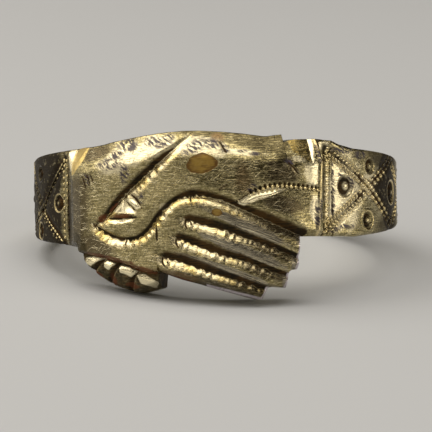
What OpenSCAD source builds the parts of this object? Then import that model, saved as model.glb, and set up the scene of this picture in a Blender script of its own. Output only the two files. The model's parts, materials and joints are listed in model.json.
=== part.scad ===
/* [Hoop] */
// Outside diameter of the hoop
hoop_d = 21; // [19:0.5:24]
// Thickness of the hoop, from the bore to its outside
hoop_t = 1.3; // [1.1:0.1:1.6]
// Height that the hoop would have behind the middle of the hands
front_h = 5.75; // [5.5:0.05:5.9]
// Height of the hoop at the back
back_h = 2.4; // [2:0.1:4]
// Width of the worn edge along the hoop's rims
edge_w = 0.2; // [0.1:0.05:0.3]
// How far that edge falls back
edge_drop = 0.12; // [0.05:0.01:0.2]

/* [Hands] */
// How far the clasped hands stand out from the hoop
rise = 0.8; // [0.6:0.05:1]
// Height of the sloping shoulder along the hands' upper edge
shoulder_h = 1.4; // [0.9:0.05:1.6]
// How far that shoulder falls back at the upper edge
shoulder_drop = 0.85; // [0.5:0.05:0.9]
// How far the curled fingertips lie back from the palm
tip_back = 0.55; // [0.4:0.05:0.7]

/* [Carving] */
// Scale of the depth of every graver cut
cut_scale = 1; // [0.6:0.1:1.1]
// Half width of a cut for each millimetre of its depth
cut_flare = 1.2; // [0.8:0.1:1.3]
// The same for the cuts between the curled fingertips
tip_flare = 0.7; // [0.5:0.1:0.9]
// Longest side of a facet round the hands
facet = 0.4; // [0.3:0.1:1]
// Longest stretch of a cut between two of its sections
cut_step = 0.5; // [0.3:0.1:0.8]
// Number of facets round the rest of the hoop
hoop_facets = 64; // [40:4:96]

/* [Hidden] */

hoop_r = hoop_d / 2;
bore_r = hoop_r - hoop_t;
hand_r = hoop_r + rise;
mm_per_turn = 2 * PI * hoop_r;
gilt = [0.72, 0.6, 0.3];
// How far the uncarved ring reaches into the bore, how far a cut's open side is carried on past
// the surface, and the length of the cylinder that clears the bore
bore_skin = 0.4;
lift = 0.1;
bore_cut_h = 30;

// The drawing below is the ring unrolled: places are millimetres along the hoop's outside from the
// middle of the hands, to the right, and heights are millimetres above the hoop's middle line.

// Outline of the hands: place, lower edge, upper edge
outline = [
    [-8.4, -2.65, 2.62],
    [-6.45, -2.8, 2.78],
    [-6.25, -2.95, 2.79],
    [-6.2, -3.55, 2.79],
    [-6.05, -3.95, 2.79],
    [-5.8, -4.22, 2.8],
    [-5.4, -4.52, 2.84],
    [-4.8, -4.8, 2.92],
    [-4.2, -5.02, 3.04],
    [-3, -5.36, 3.23],
    [-2.55, -5.4, 3.3],
    [-1.65, -5.2, 3.42],
    [-1.38, -5.1, 3.46],
    [-1.28, -4.2, 3.47],
    [0, -4.67, 3.56],
    [0.9, -4.93, 3.56],
    [2.2, -5.34, 3.48],
    [3.4, -5.68, 3.36],
    [4.1, -5.85, 3.26],
    [4.25, -5.8, 3.24],
    [4.55, -5.18, 3.2],
    [4.95, -5.13, 3.19],
    [5.55, -5.22, 3.27],
    [5.65, -4.75, 3.28],
    [5.72, -4.35, 2.8],
    [5.9, -4.24, 2.9],
    [6.2, -4.2, 2.97],
    [6.3, -3.2, 2.98],
    [6.42, -2.4, 3],
    [7.8, -2.4, 3.02],
    [8.95, -2.43, 2.92],
    [9.5, -2.42, 2.71],
    [10.6, -2.48, 2.49]
];

// Share of the hands' full rise over the hoop: place, share
rise_share = [[-7.7, 0], [-6.7, 0.7], [-5.9, 1], [7.1, 1], [7.75, 0.85], [7.95, 0]];

// Slope along the hands' lower edge, tallest at the rounded fingertips: place, height, drop
under_slope = [[-6.35, 0.4, 0.35], [-6.15, 0.8, 1.2], [-1.4, 0.8, 1.2], [-1.27, 0.4, 0.35]];

// Lower boundary of the palm, in front of the curled fingertips: place, height
palm_edge = [
    [-7, -2.95],
    [-5.9, -3.12],
    [-5.15, -3.26],
    [-4.4, -3.38],
    [-3.55, -3.63],
    [-2.9, -3.8],
    [-2.45, -4.03],
    [-1.9, -4.2],
    [-0.9, -4.2]
];
// Height of the room cleared below that boundary, and how far its wall slants outwards
shelf_h = 3;
shelf_slant = 0.15;

// Bottom lines of the graver's cuts: place, height, depth
thumb_top_cut = [
    [0.95, 3.7, 0.95],
    [0.1, 2.99, 0.7],
    [-1.07, 1.97, 0.45],
    [-2.28, 0.89, 0.4],
    [-3.43, -0.11, 0.4],
    [-4.35, -1.1, 0.35],
    [-4.95, -1.65, 0.15]
];
thumb_under_cut = [
    [-5, -1.55, 0.12],
    [-4.4, -2.05, 0.28],
    [-3.6, -2.42, 0.34],
    [-2.8, -2.5, 0.34],
    [-2.15, -2.3, 0.34],
    [-1.65, -1.85, 0.34],
    [-1.25, -1.3, 0.34],
    [-0.8, -0.8, 0.34],
    [-0.35, -0.42, 0.34],
    [0.25, -0.15, 0.36],
    [1.1, -0.12, 0.4],
    [2.2, -0.42, 0.44],
    [3.2, -0.85, 0.42],
    [4.6, -1.52, 0.4],
    [6.6, -2.42, 0.4]
];
wrist_cut = [
    [2.85, -0.42, 0.2],
    [3.1, -0.36, 0.24],
    [3.55, -0.08, 0.26],
    [4.15, 0.15, 0.24],
    [5.6, 0.36, 0.08]
];
finger_cuts = [
    [[0.35, -1.35, 0.36], [1.27, -1.64, 0.36], [2.12, -1.88, 0.35], [3.24, -2.32, 0.35], [6.7, -3.75, 0.32]],
    [[-0.15, -2.36, 0.36], [0.67, -2.71, 0.36], [2.12, -3.3, 0.35], [4.81, -4.25, 0.34], [6.3, -4.75, 0.32]],
    [[-0.9, -3.38, 0.36], [0.15, -3.72, 0.36], [1.7, -4.31, 0.35], [3.58, -4.98, 0.34], [5, -5.45, 0.32]]
];
nail_cuts = [
    [[-3, 0.12, 0.1], [-2.62, -0.06, 0.26], [-2.1, -0.66, 0.08]],
    [[-3.25, -0.15, 0.26], [-2.75, -0.57, 0.26], [-2.36, -0.9, 0.08]],
    [[-4.15, -1.28, 0.25], [-3.3, -1.27, 0.28], [-2.4, -1.17, 0.08]]
];
tip_cuts = [
    [[-4.6, -3.35, 0.7], [-5.6, -4.15, 0.85], [-6.2, -4.7, 0.95]],
    [[-3.65, -3.65, 0.7], [-4.5, -4.57, 0.85], [-4.9, -5.3, 0.95]],
    [[-2.55, -4.05, 0.7], [-3.2, -5.05, 0.85], [-3.5, -5.7, 0.95]]
];
cuff_cuts = [
    [[-7.15, 3.1, 1.2], [-6.85, 1.9, 0.55], [-6.65, 1, 0.25]],
    [[7.12, 3.3, 1.15], [7.08, 2.2, 0.55], [7.05, 1.5, 0.08]]
];

// The unrolled drawing is bent round the hoop: a place and a height, at a radius of their own
function degrees_at(place) = place / mm_per_turn * 360;
function bent(place, height, r) = [
    r * sin(degrees_at(place)),
    -r * cos(degrees_at(place)),
    height
];
function column(table, k) = [for (row = table) [row[0], row[k]]];

// Edges of the ring: the drawn outline at the hands, and a hoop that gets lower towards the back
drawn_low = column(outline, 1);
drawn_high = column(outline, 2);
function is_drawn(place) = place >= outline[0][0] && place <= outline[len(outline) - 1][0];
function hoop_half(place) = (back_h + (front_h - back_h) * (1 + cos(degrees_at(place))) / 2) / 2;
function lower_edge(place) = is_drawn(place) ? lookup(place, drawn_low) : -hoop_half(place);
function upper_edge(place) = is_drawn(place) ? lookup(place, drawn_high) : hoop_half(place);

// One cross-section of the uncarved ring, as a closed loop: down the outside, up inside the bore
under_height = column(under_slope, 1);
under_drop = column(under_slope, 2);
function between(a, b, share) = a + (b - a) * share;
function section(place) =
    let (share = lookup(place, rise_share), r = hoop_r + rise * share,
         low = lower_edge(place), high = upper_edge(place),
         foot = between(edge_w, lookup(place, under_height), share),
         foot_drop = between(edge_drop, lookup(place, under_drop), share),
         head = between(edge_w, shoulder_h, share),
         head_drop = between(edge_drop, shoulder_drop, share))
    [
        bent(place, high, r - head_drop),
        bent(place, high - head, r),
        bent(place, low + foot, r),
        bent(place, low, r - foot_drop),
        bent(place, low, bore_r - bore_skin),
        bent(place, high, bore_r - bore_skin)
    ];
function lower_outer_edge(place) = section(place)[3];

// Places of the cross-sections: every corner of the drawing, evenly divided, then round the back
function sorted(list) = len(list) < 2 ? list :
    let (middle = list[floor(len(list) / 2)])
    concat(
        sorted([for (v = list) if (v < middle) v]),
        [middle],
        sorted([for (v = list) if (v > middle) v])
    );
function divided(a, b, longest) =
    let (n = ceil((b - a) / longest))
    [for (i = [0:n - 1]) a + (b - a) * i / n];
function wrapped(place) = place > mm_per_turn / 2 ? place - mm_per_turn : place;
corners = sorted([for (row = concat(outline, rise_share, under_slope)) row[0]]);
last_corner = corners[len(corners) - 1];
way_round = corners[0] + mm_per_turn - last_corner;
places = concat(
    [for (i = [0:len(corners) - 2]) each divided(corners[i], corners[i + 1], facet)],
    [for (i = [0:hoop_facets - 1]) wrapped(last_corner + way_round * i / hoop_facets)]
);
sections = [for (place = places) section(place)];

// The ring lies on its side on three points: the curled fingertips, the long fingers and the back
// of the hoop. The plane z = a x + b y + c through them is found by letting the ring down, turn by
// turn, on the lowest point of each of the three stretches of its lower rim.
tips_end = -1.25;
rim = [for (place = places) each [bent(place, lower_edge(place), bore_r), lower_outer_edge(place)]];
tip_rim = [for (p = rim) if (p[1] < 0 && p[0] < tips_end) p];
finger_rim = [for (p = rim) if (p[1] < 0 && p[0] > 0) p];
back_rim = [for (p = rim) if (p[1] > 0) p];
function lowest(list, a, b) =
    let (heights = [for (p = list) p[2] - a * p[0] - b * p[1]], low = min(heights))
    [for (i = [0:len(list) - 1]) if (heights[i] == low) list[i]][0];
function let_down(a, b, turns) = turns == 0 ? [a, b] :
    let (p = lowest(tip_rim, a, b), q = lowest(finger_rim, a, b), t = lowest(back_rim, a, b),
         n = cross(q - p, t - p))
    let_down(-n[0] / n[2], -n[1] / n[2], turns - 1);
lean = let_down(0, 0, 8);
pitch = -atan(lean[1]);
roll = atan2(lean[0], norm([1, lean[1]]));

// A point of the ring after those two turns, and the move that then seats the ring: its lowest
// point on the ground, and the middle of its outline over the origin
function turned(p) =
    let (y = p[1] * cos(pitch) - p[2] * sin(pitch), z = p[1] * sin(pitch) + p[2] * cos(pitch))
    [p[0] * cos(roll) + z * sin(roll), y, z * cos(roll) - p[0] * sin(roll)];
outside = [for (loop = sections) each [for (k = [0:3]) turned(loop[k])]];
skin = concat(outside, [for (p = rim) turned(p)]);
low_corner = [for (k = [0:2]) min([for (p = skin) p[k]])];
high_corner = [for (k = [0:2]) max([for (p = skin) p[k]])];
seat = [
    -(low_corner[0] + high_corner[0]) / 2,
    -(low_corner[1] + high_corner[1]) / 2,
    -low_corner[2]
];

// Triangles between loops i and j, of m points each: every quad is split along one diagonal
function band(i, j, m) = [
    for (k = [0:m - 1])
        let (l = (k + 1) % m)
        each [[i * m + k, j * m + k, j * m + l], [i * m + k, j * m + l, i * m + l]]
];

// The ring before it is carved: hoop and hands in one closed skin
module blank() {
    n = len(sections);
    m = len(sections[0]);
    polyhedron(
        points = [for (loop = sections) each loop],
        faces = [for (i = [0:n - 1]) each band(i, (i + 1) % n, m)],
        convexity = 6
    );
}

// A drawn path as one smooth line: each stretch between two of its points is a cubic that leaves
// and arrives along the line between the points on either side
function cubic(a, b, c, d, t) =
    b + (c - a) * t / 2 + (2 * a - 5 * b + 4 * c - d) * t * t / 2 + (3 * b - a - 3 * c + d) * t * t * t / 2;
function smoothed(path) =
    let (n = len(path))
    concat(
        [for (i = [0:n - 2])
            let (a = path[max(i - 1, 0)], b = path[i], c = path[i + 1], d = path[min(i + 2, n - 1)],
                 pieces = ceil(norm([c[0] - b[0], c[1] - b[1]]) / cut_step))
            for (k = [0:pieces - 1]) cubic(a, b, c, d, k / pieces)],
        [path[n - 1]]
    );

// A graver's cut: a V with its bottom along the path, its walls carried on past the surface
module cut(drawn, flare = cut_flare) {
    path = smoothed(drawn);
    n = len(path);
    function across(i) =
        let (a = path[max(i - 1, 0)], b = path[min(i + 1, n - 1)], d = [b[0] - a[0], b[1] - a[1]])
        [-d[1], d[0]] / norm(d);
    function vee(i) =
        let (p = path[i], depth = p[2] * cut_scale, side = across(i) * flare * (depth + lift))
        [
            bent(p[0], p[1], hand_r - depth),
            bent(p[0] + side[0], p[1] + side[1], hand_r + lift),
            bent(p[0] - side[0], p[1] - side[1], hand_r + lift)
        ];
    last = 3 * (n - 1);
    polyhedron(
        points = [for (i = [0:n - 1]) each vee(i)],
        faces = concat(
            [[0, 1, 2]],
            [for (i = [0:n - 2]) each band(i, i + 1, 3)],
            [[last, last + 2, last + 1]]
        )
    );
}

// The room in front of the curled fingertips: a wall along the palm's edge and a floor set back
module shelf() {
    n = len(palm_edge);
    floor_r = hand_r - tip_back;
    function step(i) =
        let (p = palm_edge[i])
        [
            bent(p[0], p[1] - shelf_slant, floor_r),
            bent(p[0], p[1], hand_r + lift),
            bent(p[0], p[1] - shelf_h, hand_r + lift),
            bent(p[0], p[1] - shelf_h, floor_r)
        ];
    last = 4 * (n - 1);
    polyhedron(
        points = [for (i = [0:n - 1]) each step(i)],
        faces = concat(
            [[0, 1, 2], [0, 2, 3]],
            [for (i = [0:n - 2]) each band(i, i + 1, 4)],
            [[last, last + 2, last + 1], [last, last + 3, last + 2]]
        )
    );
}

module bore() {
    cylinder(h = bore_cut_h, r = bore_r, center = true, $fn = 96);
}

module ring() {
    color(gilt)
        translate(seat)
            rotate([pitch, roll, 0])
                difference() {
                    blank();
                    shelf();
                    cut(thumb_top_cut);
                    cut(thumb_under_cut);
                    cut(wrist_cut);
                    for (path = concat(finger_cuts, nail_cuts, cuff_cuts)) cut(path);
                    for (path = tip_cuts) cut(path, tip_flare);
                    bore();
                }
}

ring();
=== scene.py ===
# %% [markdown]
# # A fede ring: two clasped hands on a hoop
#
# The ring is one casting in silver gilt. A graver cut the fingers and the thumb into it, and small
# punches struck the rows of beads, the trellis and the circles. This notebook dresses the plain
# packed ring: it works out the worn, carved skin as one closed surface, adds the punched beads, and
# gives both a gilding that is brushed, stained and rubbed through.
#
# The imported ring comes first. It is the frame that everything below is measured against.

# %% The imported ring
import json
import math

import bpy
import numpy as np
from mathutils import Matrix, Vector


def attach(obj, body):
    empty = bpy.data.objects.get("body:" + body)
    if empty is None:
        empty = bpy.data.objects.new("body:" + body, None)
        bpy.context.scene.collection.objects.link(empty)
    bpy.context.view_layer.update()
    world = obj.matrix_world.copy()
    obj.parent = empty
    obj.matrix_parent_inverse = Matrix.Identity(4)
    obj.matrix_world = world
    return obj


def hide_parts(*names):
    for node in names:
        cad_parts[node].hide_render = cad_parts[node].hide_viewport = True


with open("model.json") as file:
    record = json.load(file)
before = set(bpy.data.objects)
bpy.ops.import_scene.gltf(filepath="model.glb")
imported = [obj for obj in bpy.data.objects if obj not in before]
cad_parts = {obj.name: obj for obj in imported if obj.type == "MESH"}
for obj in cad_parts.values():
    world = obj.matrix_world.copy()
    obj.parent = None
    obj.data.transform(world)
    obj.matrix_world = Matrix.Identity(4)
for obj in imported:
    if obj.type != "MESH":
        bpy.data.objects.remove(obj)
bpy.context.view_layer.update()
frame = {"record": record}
MM = 0.001

# %% [markdown]
# ## How the ring lies
#
# It is easiest to draw the ring standing true, with the axis of its bore upright, and to lay it down
# at the very end. The record says where that axis went when the ring was laid on its side, and from
# the axis come back the two turns: one about X, then one about Y.

# %% Laying the ring down
bore = next(m for m in frame["record"]["mounts"] if m["name"] == "finger_bore")
axis = np.array(bore["axis"]) / np.linalg.norm(bore["axis"])
seat = np.array(bore["pos_m"]) / MM
pitch = -math.asin(axis[1])
roll = math.atan2(axis[0], axis[2])
turns = np.array(Matrix.Rotation(roll, 3, "Y") @ Matrix.Rotation(pitch, 3, "X"))


def laid(points):
    """Points of the upright ring, in mm, after its two turns and its move to the ground, in metres."""
    return (points @ turns.T + seat) * MM


print("pitch and roll in degrees:", round(math.degrees(pitch), 2), round(math.degrees(roll), 2))

# %% [markdown]
# ## The camera
#
# The photograph looks at the hands level with the hoop, a little from the right, from about 22
# centimetres. Its scale is known where the hoop is widest: the outside of the hoop, 21 mm across,
# takes up 362 pixels there, which gives the lens. The camera is set for the upright ring and is then
# laid down with it, so it comes to look from about 12 degrees above the floor.

# %% Camera
photo_size = 432
hoop_half_width_px = 181
hoop_middle_row_px = 195.7
view_turn = math.radians(10)
view_distance = 220
image_turn = 0.018
sensor = 36

hoop_r = 10.5
px_per_mm = hoop_half_width_px / hoop_r
back = np.array([math.sin(view_turn), -math.cos(view_turn), 0])
right = np.array([math.cos(view_turn), math.sin(view_turn), 0])
up = np.array([0, 0, 1])
aim = -up * (photo_size / 2 - hoop_middle_row_px) / px_per_mm
rolled_right = right * math.cos(image_turn) - up * math.sin(image_turn)
rolled_up = right * math.sin(image_turn) + up * math.cos(image_turn)

camera = bpy.data.objects.new("camera", bpy.data.cameras.new("camera"))
camera.data.sensor_width = sensor
camera.data.lens = px_per_mm * view_distance / photo_size * sensor
camera.data.clip_start = 0.01
camera.data.clip_end = 10
placing = Matrix((turns @ np.column_stack([rolled_right, rolled_up, back])).tolist()).to_4x4()
placing.translation = laid(aim + back * view_distance)
camera.matrix_world = placing
bpy.context.scene.collection.objects.link(camera)
bpy.context.scene.camera = camera
print("lens in mm:", round(camera.data.lens, 1))
print("camera in mm:", [round(c / MM, 1) for c in placing.translation])

# %% [markdown]
# ## Floor and lights
#
# Metal shows what is around it. A broad soft lamp overhead draws the bright line along the shoulder
# of the hands, which painted highlight strengthens, and fills the graver's lower walls, while their
# upper walls are darkened with painted shade. Four weaker lamps, in front, at the front left and low
# at both sides, brighten what turns away from the camera. The floor is plain and pale. Colours are
# shown as they are, because the filmic default would turn bright gold pale.

# %% Floor and lights
floor_half_size = 1.5
paper_colour, paper_roughness = (0.50, 0.515, 0.54, 1), 0.9
room_colour, room_strength = (0.34, 0.30, 0.25, 1), 0.15
warm, warmer = (1, 0.94, 0.84), (1, 0.93, 0.82)

# Soft lamps: name, place and size in metres, power in watts, colour
lamps = [
    ("overhead", (-0.10, -0.01, 0.30), (0.32, 0.56), 1.5, warm),
    ("front", (0.02, -0.22, 0.19), (0.30, 0.08), 0.07, warm),
    ("right_side", (0.25, -0.02, 0.06), (0.16, 0.10), 0.15, warmer),
    ("left_side", (-0.25, 0.09, 0.07), (0.18, 0.12), 0.07, warm),
    ("front_left", (-0.21, -0.23, 0.09), (0.40, 0.14), 0.13, warm),
]


def make_mesh(name, points, faces):
    """A smooth mesh object from an array of points, in metres, and an array of faces."""
    mesh = bpy.data.meshes.new(name)
    mesh.from_pydata(points, [], faces)
    mesh.shade_smooth()
    made = bpy.data.objects.new(name, mesh)
    bpy.context.scene.collection.objects.link(made)
    return made


def soft_light(name, place, size, power, colour):
    """A rectangular lamp, turned to face the middle of the ring."""
    lamp = bpy.data.lights.new(name, "AREA")
    lamp.shape = "RECTANGLE"
    lamp.size, lamp.size_y = size
    lamp.energy = power
    lamp.color = colour
    light = bpy.data.objects.new(name, lamp)
    light.rotation_mode = "QUATERNION"
    light.rotation_quaternion = Vector(place).to_track_quat("Z", "Y")
    light.location = place
    bpy.context.scene.collection.objects.link(light)


floor_corners = np.array([(-1, -1, 0), (1, -1, 0), (1, 1, 0), (-1, 1, 0)]) * floor_half_size
floor = make_mesh("floor", floor_corners, np.array([(0, 1, 2, 3)]))
paper = bpy.data.materials.new("pale_floor")
paper.use_nodes = True
paper.node_tree.nodes["Principled BSDF"].inputs["Base Color"].default_value = paper_colour
paper.node_tree.nodes["Principled BSDF"].inputs["Roughness"].default_value = paper_roughness
floor.data.materials.append(paper)
for row in lamps:
    soft_light(*row)

bpy.context.scene.view_settings.view_transform = "Standard"
world = bpy.data.worlds.new("room")
world.use_nodes = True
world.node_tree.nodes["Background"].inputs["Color"].default_value = room_colour
world.node_tree.nodes["Background"].inputs["Strength"].default_value = room_strength
bpy.context.scene.world = world
print("lamps:", [row[0] for row in lamps])

# %% [markdown]
# ## The drawing, unrolled
#
# Hoop and hands are drawn flat, as a goldsmith would draw them on a strip: a *place* is the way along
# the outside of the hoop from the middle of the hands, to the right, and a *height* is the way up
# from the hoop's middle line, both in millimetres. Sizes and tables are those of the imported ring,
# apart from small shifts of a few lines.

# %% Sizes and outline
bore_r = 9.2
rise = 0.8
hand_r = hoop_r + rise
front_h, back_h = 5.75, 2.4
edge_w, edge_drop = 0.2, 0.12
shoulder_h, shoulder_drop = 1.5, 0.85
way_round = 2 * math.pi * hoop_r

# Outline of the hands: place, lower edge, upper edge
outline = np.array([
    (-8.4, -2.65, 2.62), (-6.45, -2.8, 2.78), (-6.25, -2.95, 2.79), (-6.2, -3.55, 2.79),
    (-6.05, -3.95, 2.79), (-5.8, -4.22, 2.8), (-5.4, -4.52, 2.84), (-4.8, -4.8, 2.92),
    (-4.2, -5.02, 3.04), (-3, -5.36, 3.23), (-2.55, -5.4, 3.3), (-1.65, -5.2, 3.42),
    (-1.38, -5.1, 3.46), (-1.28, -4.2, 3.47), (0, -4.67, 3.56), (0.9, -4.93, 3.56),
    (2.2, -5.34, 3.48), (3.4, -5.68, 3.36), (4.1, -5.85, 3.26), (4.25, -5.8, 3.24),
    (4.55, -5.18, 3.2), (4.95, -5.13, 3.19), (5.55, -5.22, 3.27), (5.65, -4.75, 3.28),
    (5.72, -4.35, 2.8), (5.9, -4.24, 2.9), (6.2, -4.2, 2.97), (6.3, -3.2, 2.98),
    (6.42, -2.4, 3), (7.8, -2.4, 3.02), (8.95, -2.43, 2.92), (9.5, -2.42, 2.71), (10.6, -2.48, 2.49),
])

# Share of the hands' full rise over the hoop: place, share
rise_share = np.array([(-7.7, 0), (-6.7, 0.7), (-5.9, 1), (7.1, 1), (7.75, 0.85), (7.95, 0)])

# Slope along the hands' lower edge: place, height, drop
under_slope = np.array([(-6.35, 0.4, 0.35), (-6.15, 0.8, 1.2), (-1.4, 0.8, 1.2), (-1.27, 0.4, 0.35)])


def read(table, place, column=1):
    """A table's column at each place, on straight lines between its rows."""
    return np.interp(place, table[:, 0], table[:, column])


def edges(place):
    """Lower and upper edge: the drawn outline at the hands, else a hoop whose height falls as a
    cosine from front_h at the hands' middle to back_h at the back."""
    half = (back_h + (front_h - back_h) * (1 + np.cos(place / hoop_r)) / 2) / 2
    drawn = (place >= outline[0, 0]) & (place <= outline[-1, 0])
    return np.where(drawn, read(outline, place, 1), -half), np.where(drawn, read(outline, place, 2), half)


def wrapped(place):
    """The same place, counted the shorter way round from the middle of the hands."""
    return (place + way_round / 2) % way_round - way_round / 2


print("hoop: height in front and at the back in mm:", front_h, back_h, "way round:", round(way_round, 2))

# %% [markdown]
# ## The graver's lines
#
# Each cut is a V. Its path is its bottom line, as places, heights and depths below the face of the
# hands, and a cubic through them makes the line smooth. Paths run from left to right, so the side
# above a path is always its left-hand side. A cut also has the widths of its slopes above and below
# for each millimetre of depth, a width of painted shade above its bottom, the size of the chisel's
# bites and a shine, the share of painted highlight on the lower slope. Each is one number, or a table
# of places and numbers where it changes on the way.

# %% Cuts of the thumb and the wrist
thumb_top = {
    "path": [
        (-4.95, -1.65, 0.15), (-4.35, -1.1, 0.35), (-3.43, -0.11, 0.4), (-2.28, 0.89, 0.4),
        (-1.07, 1.97, 0.42), (0.1, 2.99, 0.62), (0.95, 3.7, 0.85),
    ],
    "above": [(-4, 1), (-1.5, 1.2), (-0.2, 1.9), (0.9, 2.4)],
    "below": [(-3, 1.5), (-1.3, 1.5), (-0.5, 0.95), (0.6, 0.6)],
    "dark": [(-4.9, 0.12), (-4.3, 0.26), (-3, 0.34), (-1.5, 0.38), (-0.8, 0.25), (-0.15, 0)],
    "bites": [(-1, 0.45), (-0.3, 0.1)],
    "shine": [(-4, 0.7), (-1, 0.75), (0.5, 1)],
    "lips": (0.05, 0.2),
}
thumb_under = {
    "path": [
        (-4.98, -1.53, 0.1), (-4.36, -1.98, 0.28), (-3.57, -2.32, 0.34), (-2.81, -2.37, 0.34),
        (-2.22, -2.18, 0.34), (-1.75, -1.76, 0.34), (-1.35, -1.22, 0.34), (-0.89, -0.71, 0.34),
        (-0.41, -0.32, 0.34), (0.23, -0.05, 0.36), (1.11, -0.03, 0.4), (2.23, -0.34, 0.44),
        (3.22, -0.8, 0.42), (4.62, -1.48, 0.4), (6.6, -2.42, 0.4),
    ],
    "above": [
        (-4.5, 0.9), (-3.5, 1.1), (-1.5, 1.2), (0, 1.3), (0.5, 1.4), (1.5, 1.2), (3.2, 0.9), (4.5, 1.2),
    ],
    "below": [(-3, 1.3), (0, 1.2), (1.5, 1.05), (2.5, 1.3)],
    "dark": [
        (-4.5, 0.15), (-3, 0.18), (-1.5, 0.2), (-0.5, 0.24), (0.2, 0.36), (0.5, 0.46), (1.4, 0.4),
        (2.4, 0.36), (3.2, 0.36), (4.2, 0.5), (6, 0.6),
    ],
    "bites": [(-1, 0.9), (0.8, 0.8), (1.6, 0.15)],
    "shine": [(-4.5, 1), (0.5, 0.95), (1.6, 0.65), (3.2, 0.5), (4, 0.25), (6, 0.1)],
    "lips": (0.12, 0.2),
}
wrist = {
    "path": [
        (2.85, -0.42, 0.2), (3.1, -0.36, 0.24), (3.55, -0.08, 0.26), (4.15, 0.15, 0.24),
        (4.9, 0.29, 0.2), (5.6, 0.36, 0.08),
    ],
    "above": 0.7, "below": 1.7, "dark": 0.16,
}

# %% Cuts of the fingers
finger_paths = [
    [
        (0.35, -1.35, 0.34), (1.27, -1.64, 0.34), (2.12, -1.88, 0.33), (3.24, -2.32, 0.32),
        (4.45, -2.78, 0.3), (6, -3.44, 0.28), (6.7, -3.75, 0.26),
    ],
    [
        (-0.15, -2.36, 0.34), (0.67, -2.71, 0.34), (2.12, -3.3, 0.33), (3.24, -3.62, 0.31),
        (4.81, -4.25, 0.28), (5.5, -4.5, 0.26), (6.3, -4.75, 0.24),
    ],
    [
        (-0.9, -3.38, 0.34), (0.15, -3.72, 0.34), (1.7, -4.31, 0.32), (2.72, -4.64, 0.3),
        (3.58, -4.98, 0.28), (5, -5.45, 0.26),
    ],
]
# These cuts start square, and their tables go by the length run along the cut, not by the place
finger_widths = {
    "above": [(0, 1.5), (1, 1.7), (2.4, 1.5), (3.6, 1.1), (6, 0.8)],
    "below": [(0, 1.2), (0.6, 1.45), (3, 1.3), (5.5, 1.1)],
    "dark": [(0, 0.45), (1, 0.58), (2.4, 0.5), (3.6, 0.38), (6, 0.28)],
    "bites": 0.8,
    "shine": [(0, 0.85), (2.2, 0.8), (3.2, 0.4), (4.5, 0.15), (6, 0.1)],
    "lips": (0.3, 0.14),
    "square_start": True,
}
tip_paths = [
    [(-6, -4.5, 0.2), (-5.6, -4.15, 0.28), (-4.64, -3.4, 0.2)],
    [(-4.75, -4.95, 0.2), (-4.5, -4.57, 0.3), (-3.68, -3.7, 0.2)],
    [(-3.4, -5.4, 0.2), (-3.2, -5.05, 0.3), (-2.6, -4.1, 0.2)],
]

# Lower boundary of the palm, in front of the curled fingertips: place, height
palm_edge = np.array([
    (-7, -2.95), (-5.9, -3.12), (-5.15, -3.26), (-4.4, -3.38), (-3.55, -3.63),
    (-2.9, -3.8), (-2.45, -4.03), (-1.9, -4.2), (-0.9, -4.2),
])

# %% Small cuts
# Cuffs: path, slope above, slope below
cuff_cuts = [
    ([(-6.65, 1, 0), (-6.85, 1.8, 0.12), (-7.1, 3, 0.3)], 2.2, 4),
    ([(7.1, 1.5, 0), (7.12, 2.1, 0.1), (7.34, 3.4, 0.2)], 0.5, 1.2),
]

# Round the thumb's nail: path, slope above, slope below, width of the painted shade
nail_cuts = [
    ([(-3, 0.12, 0.1), (-2.62, -0.06, 0.24), (-2.1, -0.66, 0.06)], 1.2, 1.5, 0.24),
    ([(-3.25, -0.15, 0.28), (-2.75, -0.57, 0.24), (-2.36, -0.9, 0.06)], 0.6, 2, 0.1),
    ([(-4.15, -1.28, 0.25), (-3.3, -1.27, 0.28), (-2.4, -1.17, 0.06)], 1.1, 0.85, 0.2),
]

# Single scratches and nicks
scratches = [
    [(2.14, 2.84, 0.1), (2.4, 2.34, 0.05)],
    [(1.99, 0.2, 0.02), (2.19, 0.42, 0.06), (2.45, 0.52, 0.02)],
    [(5.7, 1.75, 0.04), (6.2, 1.15, 0.06)],
    [(-1.33, -1.5, 0), (-1.3, -2.1, 0.06), (-1.28, -2.5, 0)],
    [(0.3, -1.25, 0.04), (0.2, -1.58, 0.1), (0.34, -1.86, 0.02)],
    [(-0.2, -2.26, 0.04), (-0.3, -2.58, 0.1), (-0.16, -2.86, 0.02)],
    [(-0.96, -3.28, 0.04), (-1.06, -3.62, 0.1), (-0.86, -3.94, 0.02)],
    [(-5.75, 1.2, 0), (-5.6, 0.8, 0.05), (-5.5, 0.5, 0)],
    [(-5.45, 1.35, 0), (-5.3, 0.95, 0.05), (-5.2, 0.6, 0)],
    [(-5.2, 1.35, 0), (-5.05, 1, 0.05), (-4.95, 0.75, 0)],
]

# Line of the beads at the wrist: place, height
wrist_points = [
    (3.5, -0.12), (3.79, 0.05), (4.21, 0.24), (4.63, 0.34), (5.17, 0.4), (5.83, 0.36),
    (6.51, 0.28), (7.09, 0.19), (7.5, 0.13),
]
wrist_pitch = 0.26

# All cuts in the order in which they are made
sharp = (0.02, 0.02)
cuts = [
    *(dict(path=p, above=0.7, below=0.7, dark=0.22, lips=(0.08, 0.08), sunk=True) for p in tip_paths),
    thumb_top, thumb_under, wrist,
    *(dict(path=p, **finger_widths) for p in finger_paths),
    *(dict(path=p, above=a, below=b, dark=d, lips=sharp) for p, a, b, d in nail_cuts),
    *(dict(path=p, above=a, below=b, dark=0, lips=sharp, sunk=True) for p, a, b in cuff_cuts),
    *(dict(path=p, above=1.2, below=1.2, dark=0.08, lips=sharp, sunk=True) for p in scratches),
]
print("cuts:", len(cuts))


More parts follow.
